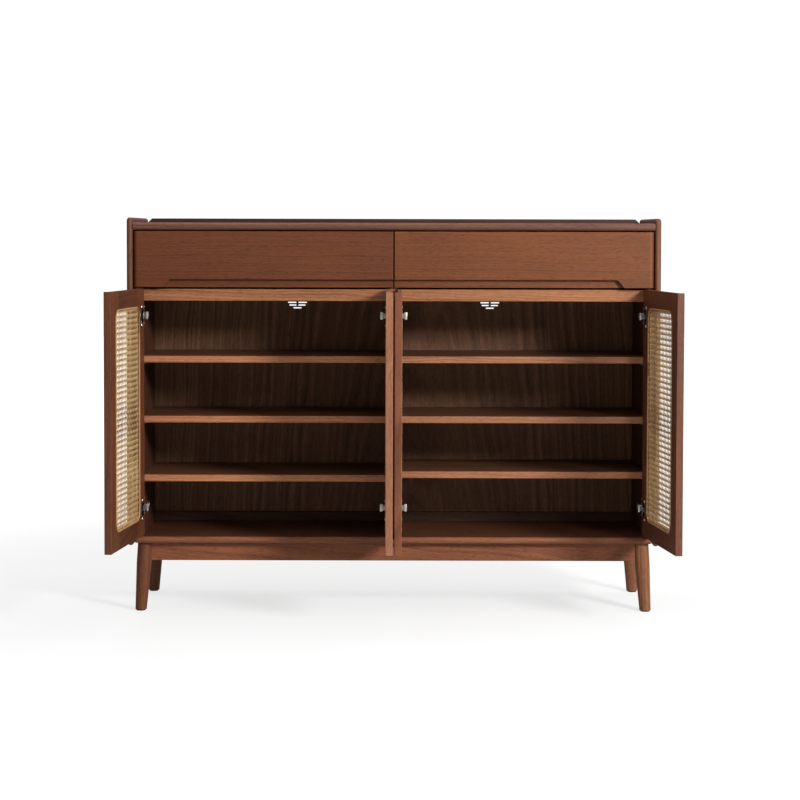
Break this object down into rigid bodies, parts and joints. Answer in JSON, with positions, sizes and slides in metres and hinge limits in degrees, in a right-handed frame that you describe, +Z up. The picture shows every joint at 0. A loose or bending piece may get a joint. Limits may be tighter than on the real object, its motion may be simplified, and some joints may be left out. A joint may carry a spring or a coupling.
{
  "type": "shoe cabinet",
  "caption": "Low shoe cabinet on turned legs: drawers over cane-panelled doors that open onto shelved bays, with a gallery rail round the top.",
  "frame": {"origin": "on the floor, under the middle of the end panels", "axes": "+X to the right seen from the front, +Y towards the back, +Z up"},
  "size_m": [1.424, 0.6694, 1.035],
  "materials": {
    "walnut_board": "satin lacquer over walnut stain",
    "walnut_frame": "satin lacquer over walnut stain",
    "walnut_turned": "satin lacquer over walnut stain",
    "walnut_back": "dark veneered panel, matt",
    "drawer_ply": "stained plywood",
    "woven_cane": "natural woven cane",
    "reed_spline": "natural reed",
    "nickel_hinge": "nickel plate",
    "zinc_runner": "zinc plate",
    "zinc_fastener": "zinc plate",
    "nylon_glide": "matt moulded nylon"
  },
  "bodies": {
    "carcass": {"end_panel_left": "walnut_board", "inner_side_left": "walnut_board", "end_panel_right": "walnut_board", "inner_side_right": "walnut_board", "top_board": "walnut_board", "gallery_rail": "walnut_board", "bottom_board": "walnut_board", "centre_divider": "walnut_board", "drawer_deck": "walnut_board", "door_head_rail": "walnut_board", "drawer_divider": "walnut_board", "back_panel": "walnut_back", "back_skirting": "walnut_back", "shelf_left_low": "walnut_board", "shelf_left_mid": "walnut_board", "shelf_left_high": "walnut_board", "shelf_right_low": "walnut_board", "shelf_right_mid": "walnut_board", "shelf_right_high": "walnut_board", "shelf_pins": "zinc_fastener", "leg_front_left": "walnut_turned", "leg_rear_left": "walnut_turned", "leg_front_right": "walnut_turned", "leg_rear_right": "walnut_turned", "leg_bolts": "zinc_fastener", "apron_front": "walnut_board", "apron_rear": "walnut_board", "apron_ends": "walnut_board", "foot_glides": "nylon_glide", "hinge_arms": "nickel_hinge", "panel_screws": "zinc_fastener", "runner_outer_members": "zinc_runner"},
    "drawer_left": {"drawer_front_left": "walnut_board", "drawer_box_left": "drawer_ply", "drawer_runner_inner_left": "zinc_runner"},
    "runner_left": {"drawer_runner_middle_left": "zinc_runner"},
    "door_outer_left": {"door_outer_left_stiles": "walnut_frame", "door_outer_left_rails": "walnut_frame", "door_outer_left_cane_panel": "woven_cane", "door_outer_left_cane_spline": "reed_spline", "door_outer_left_hinge_cups": "nickel_hinge"},
    "door_centre_left": {"door_centre_left_stiles": "walnut_frame", "door_centre_left_rails": "walnut_frame", "door_centre_left_cane_panel": "woven_cane", "door_centre_left_cane_spline": "reed_spline", "door_centre_left_hinge_cups": "nickel_hinge"},
    "drawer_right": {"drawer_front_right": "walnut_board", "drawer_box_right": "drawer_ply", "drawer_runner_inner_right": "zinc_runner"},
    "runner_right": {"drawer_runner_middle_right": "zinc_runner"},
    "door_outer_right": {"door_outer_right_stiles": "walnut_frame", "door_outer_right_rails": "walnut_frame", "door_outer_right_cane_panel": "woven_cane", "door_outer_right_cane_spline": "reed_spline", "door_outer_right_hinge_cups": "nickel_hinge"},
    "door_centre_right": {"door_centre_right_stiles": "walnut_frame", "door_centre_right_rails": "walnut_frame", "door_centre_right_cane_panel": "woven_cane", "door_centre_right_cane_spline": "reed_spline", "door_centre_right_hinge_cups": "nickel_hinge"}
  },
  "joints": [
    {"name": "drawer_left_slide", "type": "slide", "parent": "carcass", "child": "drawer_left", "axis": [0, -1, 0], "range_m": [0, 0.25]},
    {"name": "runner_left_slide", "type": "slide", "parent": "carcass", "child": "runner_left", "axis": [0, -1, 0], "range_m": [0, 0.125]},
    {"name": "door_outer_left_hinge", "type": "hinge", "parent": "carcass", "child": "door_outer_left", "pos_m": [-0.67, -0.168, 0.2726], "axis": [0, 0, -1], "range_deg": [-97, 13]},
    {"name": "door_centre_left_hinge", "type": "hinge", "parent": "carcass", "child": "door_centre_left", "pos_m": [-0.00575, -0.16625, 0.2726], "axis": [0, 0, 1], "range_deg": [-90, 0]},
    {"name": "drawer_right_slide", "type": "slide", "parent": "carcass", "child": "drawer_right", "axis": [0, -1, 0], "range_m": [0, 0.25]},
    {"name": "runner_right_slide", "type": "slide", "parent": "carcass", "child": "runner_right", "axis": [0, -1, 0], "range_m": [0, 0.125]},
    {"name": "door_outer_right_hinge", "type": "hinge", "parent": "carcass", "child": "door_outer_right", "pos_m": [0.67, -0.168, 0.2726], "axis": [0, 0, 1], "range_deg": [-97, 13]},
    {"name": "door_centre_right_hinge", "type": "hinge", "parent": "carcass", "child": "door_centre_right", "pos_m": [0.00575, -0.16625, 0.2726], "axis": [0, 0, -1], "range_deg": [-90, 0]}
  ],
  "couplings": [
    {"joint": "runner_left_slide", "follows": "drawer_left_slide", "ratio": 0.5},
    {"joint": "runner_right_slide", "follows": "drawer_right_slide", "ratio": 0.5}
  ]
}
